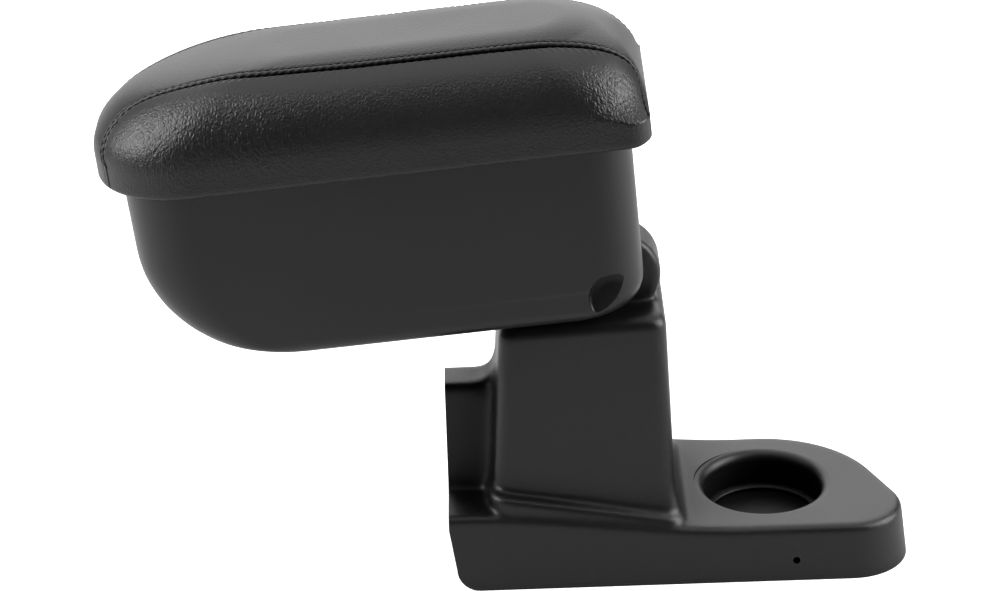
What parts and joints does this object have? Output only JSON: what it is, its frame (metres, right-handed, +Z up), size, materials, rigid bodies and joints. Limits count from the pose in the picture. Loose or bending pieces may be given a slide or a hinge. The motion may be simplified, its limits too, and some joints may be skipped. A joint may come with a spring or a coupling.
{
  "type": "car centre armrest",
  "caption": "Car centre armrest: padded lid on a storage box that swings up on a steel post, with a floor console and a cup holder.",
  "frame": {"origin": "middle of the four floor bolt holes of the steel foot flanges, on the plane the console's rim stands on", "axes": "+X towards the rear of the car, +Z up, Y = 0 the middle plane of the post and the arm"},
  "size_m": [0.4752, 0.131, 0.3403],
  "materials": {
    "console_plastic": "grained satin black",
    "box_plastic": "smooth satin black",
    "leatherette": "black grained leatherette",
    "foam": "open foam",
    "mat_felt": "black felt",
    "rubber": "matt",
    "nylon": "natural",
    "zinc_steel": "zinc plated",
    "black_steel": "black painted"
  },
  "bodies": {
    "console": {"console_shell": "console_plastic", "post_plate_left": "zinc_steel", "post_plate_right": "zinc_steel", "post_tie_bolt": "zinc_steel", "post_spacers": "zinc_steel", "pivot_bushes": "nylon", "rest_buffers": "rubber"},
    "box": {"box_shell": "box_plastic", "box_yoke": "zinc_steel", "yoke_screws": "zinc_steel", "pivot_bolt": "zinc_steel", "pivot_washers": "zinc_steel", "pivot_nut": "zinc_steel", "pivot_hood": "box_plastic", "hood_screws": "zinc_steel", "box_mat": "mat_felt", "hinge_box_leaf": "black_steel", "hinge_pin": "zinc_steel", "hinge_rivets": "zinc_steel", "catch_plate": "zinc_steel", "catch_rivets": "zinc_steel"},
    "lid": {"lid_tray": "box_plastic", "lid_liner": "mat_felt", "liner_screws": "black_steel", "lid_buffers": "rubber", "hinge_lid_leaf": "black_steel", "lid_foam": "foam", "cover_top_panel": "leatherette", "cover_left_panel": "leatherette", "cover_right_panel": "leatherette", "catch_magnets": "zinc_steel"}
  },
  "joints": [
    {"name": "arm_swing", "type": "hinge", "parent": "console", "child": "box", "pos_m": [0.02, 0, 0.189], "axis": [0, 1, 0], "range_deg": [0, 95]},
    {"name": "lid_open", "type": "hinge", "parent": "box", "child": "lid", "pos_m": [0.03644, 0, 0.29022], "axis": [0, 1, 0], "range_deg": [0, 80]}
  ]
}
